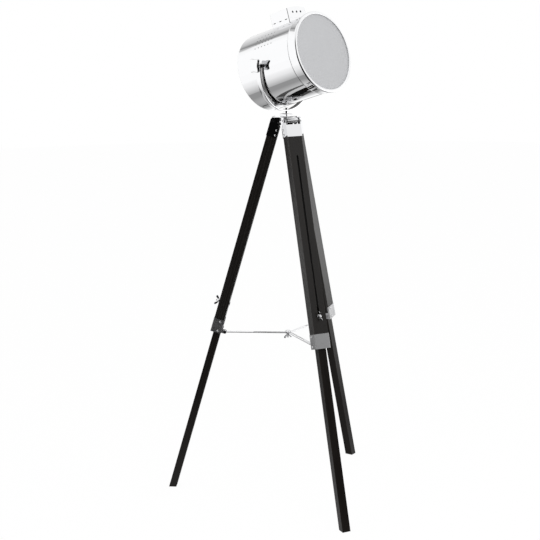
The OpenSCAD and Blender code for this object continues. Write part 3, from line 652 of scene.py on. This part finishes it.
def opal_plastic():
    """Opal diffuser: milky, with a faint cloud in it and a fine matt skin."""
    material, tree, shader, here = blank_material("Lamp opal plastic", Specular_IOR_Level=0.22)
    if tree:
        opal = tuple(bpy.context.scene.lamp_finish.opal)
        cloud = noise(tree, here, 22.0, 3.0, 0.55)
        feed(tree, shader, Base_Color=mixed(tree, cloud, shade(opal, 0.965), shade(opal, 1.035)),
             Roughness=stretch(tree, cloud, 0.3, 0.7, 0.55, 0.66, False))
        bumped(tree, shader, noise(tree, here, 1400.0, 2.0, 0.5), 0.06, 0.0002)
    return material


def plain_finish(name, other=None):
    """Finish of a small or hidden piece: mottled colour and roughness with a fine surface."""
    colour, low, high, scale, metallic, bump = PLAIN[name]
    colour = other or colour
    material, tree, shader, here = blank_material("Lamp " + name, Metallic=metallic)
    if tree:
        mottle = noise(tree, here, scale, 4.0, 0.6)
        feed(tree, shader, Base_Color=mixed(tree, mottle, shade(colour, 0.85), shade(colour, 1.12)),
             Roughness=stretch(tree, mottle, 0.3, 0.7, low, high, False))
        bumped(tree, shader, mottle, bump, 0.0003)
    return material


def paint(nodes, material):
    """Gives CAD nodes this one material."""
    for node in nodes:
        NODES[node].data.materials.clear()
        NODES[node].data.materials.append(material)


# The pieces

class LAMP_OT_head(Operator):
    """Dresses the drum, its bezel, cover and chimney box, and what is inside"""
    bl_idname = "lamp.head"
    bl_label = "Drum head"

    def execute(self, context):
        shape = context.scene.lamp_shape
        drum, shine = drum_frame(), drum_chrome()
        paint(["drum_shell", "pivot_bosses"], shine)
        paint(["diffuser"], opal_plastic())
        mesh_piece("bezel", [turned(self.bezel(drum, shape), shape.facets)], "front_bezel", shine, drum)
        mesh_piece("cover", [turned(self.cover(drum), shape.facets)], "rear_cover", shine, drum)
        for node in ("chimney_base", "chimney_box"):
            softened(node, shape.box_bend, shape.sheet_edge, chrome("sheet"))
        paint(["socket_plate", "plate_screws"], plain_finish("zinc"))
        paint(["lamp_socket"], plain_finish("ceramic"))
        paint(["bulb"], plain_finish("frosted glass"))
        paint(["cable_gland"], plain_finish("rubber"))
        return {"FINISHED"}

    @staticmethod
    def bezel(drum, shape):
        """Profile of the bezel: a sleeve with a bead at its rear end, and a rim that is rounded
        outside and turns in to the window in front of the glass."""
        low, high = local_box("front_bezel", drum)
        rear, rim, front = low[2], high[0], high[2]
        slack, sheet, bead, border, small = 0.00005, 0.0012, 0.0014, 0.0086, 0.0006
        inner = local_box("drum_shell", drum)[1][0] + slack
        outer, glass, window = inner + sheet, local_box("diffuser", drum)[1][2], rim - border
        shoulder, soft = front - shape.rim_depth, shape.rim_round
        return np.vstack([
            [(inner, rear + 0.0002), (inner, rear)],
            corner((outer - small, rear + bead), bead, -90, 60, 12),
            rounded([(outer, rear + 0.0032), (outer, shoulder - small), (rim, shoulder)], sheet, 5)[:-1],
            corner((rim - small, shoulder + small), small, -90, 0),
            corner((rim - soft, front - soft), soft, 0, 90, 16),
            corner((window + sheet, front - sheet), sheet, 90, 180),
            [(window, glass), (inner, glass), (inner, rear + 0.0002)]])

    @staticmethod
    def cover(drum):
        """Profile of the rear cover: a disc with a shallow raised ring and a rolled edge."""
        low, high = local_box("rear_cover", drum)
        back, reach, sheet, step, ring = low[2], high[0], 0.0015, 0.0006, (0.050, 0.053)
        return rounded([(0, back + step), (ring[0], back + step), (ring[1], back), (reach - 0.004, back),
                        (reach, back + 0.0009), (reach, back + sheet), (reach - 0.0012, back + sheet),
                        (ring[1], back + sheet), (ring[0], back + sheet), (0, back + sheet)], 0.0012, 4)


class LAMP_OT_yoke(Operator):
    """Builds the yoke as one bent strip with rounded edges"""
    bl_idname = "lamp.yoke"
    bl_label = "Yoke"

    def execute(self, context):
        low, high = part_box("yoke")
        width, out = high.y - low.y, high.x
        thick = 0.003
        pivot = joint("tilt")[0].z
        bend, middle, half = low.z + out, out - thick / 2, width / 2
        arc = np.linspace(-pi / 2, pi / 2, 97)
        straight = np.linspace(0, pivot - bend, 6)[1:]
        tip = pivot + half * np.sin(np.linspace(0, pi / 2, 13)[1:])
        rise = np.concatenate([straight + bend, tip])
        round_end = np.sqrt(np.maximum(0, 1 - ((tip - pivot) / half) ** 2))
        narrow = np.concatenate([np.ones(len(straight)), round_end])
        # Path in the XZ plane: down the left arm, round the bend and up the right arm
        right = upright_path(np.full(len(rise), middle), rise)
        curve = upright_path(middle * np.sin(arc), bend - middle * np.cos(arc))
        centres = np.vstack([right[::-1] * (-1, 1, 1), curve, right])
        ends = np.full(len(rise), pi / 2)
        facing = np.concatenate([-ends, arc, ends])
        outward = upright_path(np.sin(facing), -np.cos(facing))
        widths = np.concatenate([narrow[::-1], np.ones(len(arc)), narrow])
        across = np.tile((0.0, 1.0, 0), (len(centres), 1))
        grid = carried(rounded_box(half, thick / 2, 0.0007), centres, across, outward, widths)
        strip = mesh_piece("yoke_strip", [grid], "yoke", chrome("strip"), smooth=50)
        # Painted shade: the inner faces, which face the drum, get darker and rougher plating.
        dull = tuple(context.scene.lamp_finish.yoke_inside_shade)
        strip.data.materials.append(plain_finish("yoke inside shade", dull))
        middles = np.empty(len(strip.data.polygons) * 3)
        strip.data.polygons.foreach_get("center", middles)
        x, _, z = middles.reshape(-1, 3).T
        reach = np.where(z < bend, np.hypot(x, z - bend), np.abs(x))
        inner = reach < middle - 0.45 * thick
        strip.data.polygons.foreach_set("material_index", inner.astype(np.int32))
        return {"FINISHED"}


def four_lobes(half_x, half_y):
    """Outline of a four-lobed grip, as the distance k from its axis at an angle: the smallest of a box
    hx / |cos|, hy / |sin|, a circle and four circles that hollow its sides, blended by a power mean."""
    def outline(a):
        c, s = np.maximum(np.abs(np.cos(a)), 1e-6), np.maximum(np.abs(np.sin(a)), 1e-6)
        limits = [half_x / c, half_y / s, np.full_like(a, 0.91 * hypot(half_x, half_y))]
        for along, beside, near, wide in ((c, s, half_x, half_y), (s, c, half_y, half_x)):
            radius = 1.5 * wide
            centre = near + 0.9 * radius
            root = radius ** 2 - (centre * beside) ** 2
            limits.append(np.where(root > 0, centre * along - np.sqrt(np.maximum(root, 0)), 1.0))
        return sum(limit ** -18.0 for limit in limits) ** (-1 / 18)
    return outline


class LAMP_OT_knobs(Operator):
    """Builds the two tilt knobs and the pan knob with rounded lobes"""
    bl_idname = "lamp.knobs"
    bl_label = "Knobs"

    def execute(self, context):
        soft = context.scene.lamp_shape.knob_round
        shine = chrome("knob")
        for side, name in ((1, "left"), (-1, "right")):
            node = "tilt_knob_" + name
            low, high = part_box(node)
            outer = max(abs(low.x), abs(high.x))
            height, width = high.z - low.z, high.y - low.y
            collar, collar_end = 0.1193, outer - 0.010
            axis = frame_matrix((0, 0, (low.z + high.z) / 2), (0, 0, 1), (0, side, 0), (side, 0, 0))
            grip = self.edge(collar_end, outer, soft / (height / 2))
            lobes = turned(grip, 160, four_lobes(height / 2, width / 2))
            neck = turned(rounded([(0, collar), (0.0075, collar), (0.008, collar + 0.0006),
                                   (0.0066, collar + 0.004), (0.0078, collar_end + 0.0005),
                                   (0, collar_end + 0.0005)], 0.0006), 48)
            stud = turned([(0, 0.1), (0.003, 0.1), (0.003, collar + 0.001), (0, collar + 0.001)], 32)
            mesh_piece(node + "_grip", [lobes, neck, stud], node, shine, axis)
        low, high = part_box("pan_knob")
        half = (high.x - low.x) / 2
        lobes = turned(self.edge(low.z, high.z, soft / half), 160, four_lobes(half, half))
        mesh_piece("pan_knob_grip", [lobes], "pan_knob", shine)
        return {"FINISHED"}

    @staticmethod
    def edge(bottom, top, soft):
        """Side profile of a grip of unit radius: (1 - soft (1 - cos q), h + e sin q), with quarter
        turns q round both edges and slightly domed faces."""
        q = np.linspace(0, pi / 2, 8)
        rise = 0.28 * (top - bottom)
        upper = np.stack([1 - soft * (1 - np.cos(q)), top - rise * (1 - np.sin(q)) - 0.0004], 1)
        lower = np.stack([upper[::-1, 0], bottom + top - upper[::-1, 1]], 1)
        return np.vstack([[(0, bottom)], lower, upper, [(0.5, top - 0.0001), (0, top)]])


class LAMP_OT_hub(Operator):
    """Dresses the hub, the swivel and the hinge bolts"""
    bl_idname = "lamp.hub"
    bl_label = "Hub and swivel"

    def execute(self, context):
        shine, bend, edge = plain_finish("plated casting"), 0.0020, 0.0005
        softened("hub", bend, edge, shine)
        low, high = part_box("swivel_spacer")
        bore = np.hypot(*mesh_points(NODES["swivel_spacer"].data)[:, :2].T).min()
        outline = rounded([(bore, low.z + 0.0001), (bore, low.z), (high.x, low.z), (high.x, high.z),
                           (bore, high.z), (bore, low.z + 0.0001)], 0.0016, 6)
        mesh_piece("spacer", [turned(outline, 64)], "swivel_spacer", shine, body="yoke")
        paint(["swivel_bolt", "hinge_bolts"], shine)
        paint(["hinge_bushes"], plain_finish("zinc"))
        return {"FINISHED"}


class LAMP_OT_legs(Operator):
    """Dresses the wooden battens with rounded edges and stain"""
    bl_idname = "lamp.legs"
    bl_label = "Wooden legs"

    def execute(self, context):
        shape = context.scene.lamp_shape
        for letter in LEGS:
            leg = leg_frame(letter)
            (back, _, _), (front, half, _) = local_box("side_rails_" + letter, leg)
            face = local_box("face_board_" + letter, leg)[1][0]
            upper = black_wood(letter, "upper", (0.36, 0.54), (back + face) / 2, (face - back) / 2, half,
                               CHANNEL_HALF)
            for node in ("face_board_", "side_rails_"):
                softened(node + letter, shape.wood_edge, shape.sheet_edge, upper, 0.012)
            paint(["top_block_" + letter], upper)
            half = local_box("lower_leg_" + letter, leg)[1][1]
            lower = black_wood(letter, "lower", (0.08, 0.24), (back + front) / 2,
                               (front - back) / 2 - 0.0003, half)
            softened("lower_leg_" + letter, shape.wood_edge, shape.sheet_edge, lower, 0.012)
        return {"FINISHED"}


class LAMP_OT_fittings(Operator):
    """Dresses the brackets, collars, screws, clamps and wing nuts"""
    bl_idname = "lamp.fittings"
    bl_label = "Leg fittings"

    def execute(self, context):
        shape = context.scene.lamp_shape
        small = chrome("small")
        folded = {"top_bracket_": chrome("sheet"), "spreader_tab_": plain_finish("plated strip"),
                  "leg_collar_": satin_steel()}
        for letter in LEGS:
            for node, material in folded.items():
                softened(node + letter, shape.sheet_bend, shape.sheet_edge, material)
            self.screws(letter, small)
            paint([n + letter for n in ("tab_pin_", "clamp_bolt_")], small)
            wing_nut("wing_nut_" + letter, small)
        return {"FINISHED"}

    @staticmethod
    def screws(letter, material):
        """Screws of one leg: those on its two sides, and the rivets that hold the spreader's tab."""
        leg, node = leg_frame(letter), "leg_screws_" + letter
        grids = []
        for points in islands(node, leg):
            size = np.ptp(points, axis=0)
            along = 1 if size[1] > size[0] else 0
            side = copysign(1, points[:, 1].mean()) if along else -1
            grids.append(screw(points, along, side, 0.0015))
        mesh_piece(node + "_domed", grids, node, material, leg)


def wing_nut(node, material):
    """Builds a wing nut in a CAD nut's place: a turned body and two blades, each an oval section
    carried out and up from the body on a bent line while it widens, thins and closes."""
    axis = joint_frame(node + "_turn")
    points = local_points(node, axis)
    far = points[np.hypot(points[:, 0], points[:, 1]).argmax()]
    axis = joint_frame(node + "_turn", atan2(far[1], far[0]))
    low, high = local_box(node, axis)
    if abs(low[2]) > abs(high[2]):
        axis[:3, 1:3] *= -1
        low, high = local_box(node, axis)
    base, reach, tip = low[2], high[0], high[2]
    body = rounded([(0, base), (0.0053, base), (0.0055, base + 0.0012), (0.0043, base + 0.0066),
                    (0.0036, base + 0.0072), (0, base + 0.0072)], 0.0008)
    grids = [turned(body, 40)]
    t = np.linspace(0, 1, 22)
    turn = np.linspace(0, 2 * pi, 20, endpoint=False)
    oval = np.stack([np.sign(np.cos(turn)) * np.abs(np.cos(turn)) ** 0.8, np.sin(turn)], 1)
    for side in (1, -1):
        start, end = np.array((0.0030, base + 0.0030)), np.array((reach - 0.0003, tip - 0.0010))
        bend = np.array((reach - 0.0050, base + 0.0052))
        line = sum(weight[:, None] * point for weight, point in
                   (((1 - t) ** 2, start), (2 * t * (1 - t), bend), (t ** 2, end)))
        step = np.gradient(line, axis=0)
        step /= np.linalg.norm(step, axis=1)[:, None]
        centres = upright_path(side * line[:, 0], line[:, 1])
        across = upright_path(-side * step[:, 1], step[:, 0])
        out = np.tile((0.0, 1.0, 0.0), (len(t), 1))
        close = np.sqrt(np.maximum(0, 1 - np.maximum(0, (t - 0.72) / 0.28) ** 2))
        grids.append(carried(oval, centres, across, out, (0.0026 + 0.0016 * t) * close,
                             (0.0014 - 0.0006 * t) * close))
    mesh_piece(node + "_wings", grids, node, material, axis, 60)


class LAMP_OT_spreader(Operator):
    """Dresses the spreader arms and their centre bolt"""
    bl_idname = "lamp.spreader"
    bl_label = "Spreader"

    def execute(self, context):
        edge, small = context.scene.lamp_shape.sheet_edge, chrome("small")
        for letter in LEGS:
            softened("spreader_arm_" + letter, edge, edge, plain_finish("plated strip"))
        paint(["centre_bolt"], small)
        wing_nut("centre_wing_nut", small)
        return {"FINISHED"}


# Levels of the studio's paper: floor by share of a distance, wall by share of a range of azimuths
FLOOR_REACH = 3.0
WALL_RANGE = -60.0, 110.0
# The floor levels hold a painted shadow: as the plating mirrors it, the floor is darkest in a ring 0.7 to
# 1 m from the lamp.
FLOOR_LEVELS = ((0.10, 0.60), (0.16, 0.47), (0.20, 0.37), (0.24, 0.285), (0.335, 0.285), (0.35, 0.44),
                (0.40, 0.52), (0.45, 0.61), (0.62, 0.82), (0.87, 0.92), (1.0, 0.98))
WALL_LEVELS = ((0.0, 0.84), (0.12, 0.97), (0.30, 0.97), (0.53, 0.80), (0.611, 0.78), (0.665, 0.74),
               (0.706, 0.68), (0.753, 0.61), (0.80, 0.53), (0.84, 0.38), (0.858, 0.24), (0.876, 0.44),
               (0.912, 0.55), (0.925, 0.93), (1.0, 0.99))
# Azimuth in degrees of the dark room behind the camera, and of a dim gap in the paper behind the lamp
ROOM_SIDE = -127
GAP_SIDE, GAP_DEPTH = 41, 0.85


def level_ramp(tree, value, levels):
    """Grey ramp through pairs of position and level."""
    ramp = put(tree, "ValToRGB", {0: value})
    while len(ramp.color_ramp.elements) < len(levels):
        ramp.color_ramp.elements.new(0.5)
    for element, (at, level) in zip(ramp.color_ramp.elements, levels):
        element.position, element.color = at, (level, level, level, 1)
    return ramp.outputs[0]


def sector(tree, vector, middle, none, full):
    """1 within so many degrees of a compass direction, 0 beyond: a step of the cosine between
    the level part of the vector and that direction."""
    turn = radians(middle)
    unit = vector_calc(tree, "NORMALIZE", level_part(tree, vector))
    cosine = vector_calc(tree, "DOT_PRODUCT", unit, (cos(turn), sin(turn), 0), "Value")
    return stretch(tree, cosine, cos(radians(none)), cos(radians(full)))


def patch(tree, here, middle, none, full, value, start, end):
    """A sector where the value lies past the end, fading to 0 at the start."""
    return times(tree, sector(tree, here, middle, none, full), stretch(tree, value, start, end))


def glow(tree, kind, colour, strength):
    """An Emission or Background shader."""
    return put(tree, kind, {"Color": colour, "Strength": strength}).outputs[0]


def by_ray(tree, soft, mirrored, seen):
    """One shader for soft light, one for mirrored rays and one for what the camera sees itself."""
    path = put(tree, "LightPath").outputs
    sharp = calc(tree, "MAXIMUM", path["Is Glossy Ray"], path["Is Transmission Ray"])
    unseen = put(tree, "MixShader", {0: sharp, 1: soft, 2: mirrored}).outputs[0]
    return put(tree, "MixShader", {0: path["Is Camera Ray"], 1: unseen, 2: seen}).outputs[0]


class LAMP_OT_stage(Operator):
    """Lays the floor, lights the studio and places the camera"""
    bl_idname = "lamp.stage"
    bl_label = "Studio"

    def execute(self, context):
        scene, studio = context.scene, context.scene.lamp_studio
        self.floor(studio)
        self.world(scene, studio)
        self.lights(studio)
        self.camera(scene, studio)
        scene.view_settings.view_transform = "Standard"
        return {"FINISHED"}

    @staticmethod
    def floor(studio):
        """Round floor: radius rows that widen outwards, (r cos a, r sin a, 0)."""
        rows, sides = studio.floor_radius * np.linspace(0, 1, 24) ** 2, 96
        grid = turned(np.stack([rows, np.full(len(rows), -0.0002)], 1), sides)
        mesh = bpy.data.meshes.new("floor")
        mesh.from_pydata(grid.reshape(-1, 3).tolist(), [], grid_faces(len(rows), sides)[:, ::-1].tolist())
        floor = new_object("floor", mesh)
        material = bpy.data.materials.new("Studio floor")
        material.use_nodes = True
        tree = material.node_tree
        tree.nodes.remove(tree.nodes["Principled BSDF"])
        grey = put(tree, "BsdfDiffuse", {"Color": (*studio.floor_tint, 1)}).outputs[0]
        white = glow(tree, "Emission", (1, 1, 1, 1), 1.02)
        seen = put(tree, "MixShader", {0: 0.94, 1: grey, 2: white}).outputs[0]
        here = put(tree, "TexCoord").outputs["Object"]
        distance = level_length(tree, here)
        level = level_ramp(tree, calc(tree, "DIVIDE", distance, FLOOR_REACH), FLOOR_LEVELS)
        room = patch(tree, here, ROOM_SIDE, 52, 42, distance, 0.45, 0.8)
        strip = times(tree, patch(tree, here, 91, 34, 22, distance, 1.2, 1.5),
                      stretch(tree, distance, 2.7, 2.2))
        gap = patch(tree, here, GAP_SIDE, 38, 20, distance, 3.0, 4.4)
        dark = calc(tree, "MAXIMUM", room, times(tree, strip, 0.85))
        dark = calc(tree, "MAXIMUM", dark, times(tree, gap, GAP_DEPTH))
        # Painted light: the mirrored floor is brighter in a patch at azimuth -30 degrees, 1.8 to 3.5 m
        # out.
        window = patch(tree, here, -30, 36, 20, distance, 1.8, 3.5)
        lit = calc(tree, "MULTIPLY_ADD", window, 0.9 * studio.gain, extra=studio.gain)
        power = times(tree, calc(tree, "SUBTRACT", 1.0, times(tree, dark, 0.99)), lit)
        surface = by_ray(tree, grey, glow(tree, "Emission", level, power), seen)
        feed(tree, tree.nodes["Material Output"], Surface=surface)
        floor.data.materials.append(material)

    @staticmethod
    def world(scene, studio):
        """Studio walls by direction: white paper all round, a grey gap high behind the lamp,
        and the dark room behind the camera."""
        world = bpy.data.worlds.new("Studio")
        scene.world = world
        world.use_nodes = True
        tree = world.node_tree
        tree.nodes.clear()
        here = put(tree, "TexCoord").outputs["Generated"]
        axes = split(tree, here)
        degrees = times(tree, calc(tree, "ARCTAN2", axes[1], axes[0]), 180 / pi)
        level = level_ramp(tree, stretch(tree, degrees, *WALL_RANGE, smooth=False), WALL_LEVELS)
        depth = stretch(tree, axes[2], -0.15, 0.15, 0.5, 1.0)
        wall = mixed(tree, depth, (1.0, 1.0, 1.0), level)
        room = calc(tree, "MAXIMUM", patch(tree, here, ROOM_SIDE, 52, 42, axes[2], 0.32, 0.12),
                    patch(tree, here, ROOM_SIDE, 34, 26, axes[2], 0.85, 0.65))
        gap = patch(tree, here, GAP_SIDE, 38, 20, axes[2], 0.09, 0.03)
        shaded = mixed(tree, times(tree, gap, GAP_DEPTH), wall, (0.0, 0.0, 0.0))
        light = mixed(tree, room, shaded, (0.003, 0.003, 0.003))
        rays = by_ray(tree, glow(tree, "Background", light, studio.fill),
                      glow(tree, "Background", light, studio.gain),
                      glow(tree, "Background", (1, 1, 1, 1), 1.0))
        put(tree, "OutputWorld", {"Surface": rays})

    @staticmethod
    def lights(studio):
        """One large soft light high on the drum's left."""
        data = bpy.data.lights.new("Key", "AREA")
        data.shape, data.size, data.energy = "DISK", 2.4, studio.key
        light = new_object("Key", data)
        place, aim = Vector((-1.6, -3.0, 3.4)), Vector((0, 0, 0.9))
        turn = (aim - place).to_track_quat("-Z", "Y").to_matrix().to_4x4()
        light.matrix_world = Matrix.Translation(place) @ turn
        light.visible_glossy = False

    @staticmethod
    def camera(scene, studio):
        """Camera a little above the hub, turned to the lamp as the picture shows it."""
        place, heading, pitch, roll = (-2.8917, -2.4943, 1.5347), radians(41.56), 0.2174, -0.0112
        east, north = cos(heading), sin(heading)
        ahead = Vector((east * cos(pitch), north * cos(pitch), -sin(pitch)))
        level = Vector((north, -east, 0))
        up = level.cross(ahead)
        right = cos(roll) * level + sin(roll) * up
        data = bpy.data.cameras.new("Camera")
        data.lens, data.sensor_width, data.sensor_fit = studio.lens, 36, "HORIZONTAL"
        camera = new_object("Camera", data)
        turned_to = frame_matrix(place, right, right.cross(ahead), -ahead)
        camera.matrix_world = Matrix(turned_to.tolist())
        scene.camera = camera


class LAMP_PT_panel(Panel):
    """Lists the lamp's sizes, colours and building steps"""
    bl_label = "Spotlight"
    bl_idname = "LAMP_PT_panel"
    bl_space_type = "VIEW_3D"
    bl_region_type = "UI"
    bl_category = "Spotlight"

    def draw(self, context):
        for group in GROUPS:
            settings = getattr(context.scene, group)
            box = self.layout.box()
            for key in settings.__annotations__:
                box.prop(settings, key)
        for step in STEPS:
            self.layout.operator(step.bl_idname)


STEPS = (LAMP_OT_head, LAMP_OT_yoke, LAMP_OT_knobs, LAMP_OT_hub, LAMP_OT_legs, LAMP_OT_fittings,
         LAMP_OT_spreader, LAMP_OT_stage)
GROUPS = {"lamp_finish": FinishSettings, "lamp_shape": ShapeSettings, "lamp_studio": StudioSettings}


def register():
    for cls in (*GROUPS.values(), *STEPS, LAMP_PT_panel):
        bpy.utils.register_class(cls)
    for name, cls in GROUPS.items():
        setattr(bpy.types.Scene, name, PointerProperty(type=cls))


def unregister():
    for name in GROUPS:
        delattr(bpy.types.Scene, name)
    for cls in (LAMP_PT_panel, *reversed(STEPS), *GROUPS.values()):
        bpy.utils.unregister_class(cls)


def main():
    """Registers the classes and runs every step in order."""
    register()
    for step in STEPS:
        getattr(bpy.ops.lamp, step.bl_idname.split(".")[1])()


if __name__ == "__main__":
    main()
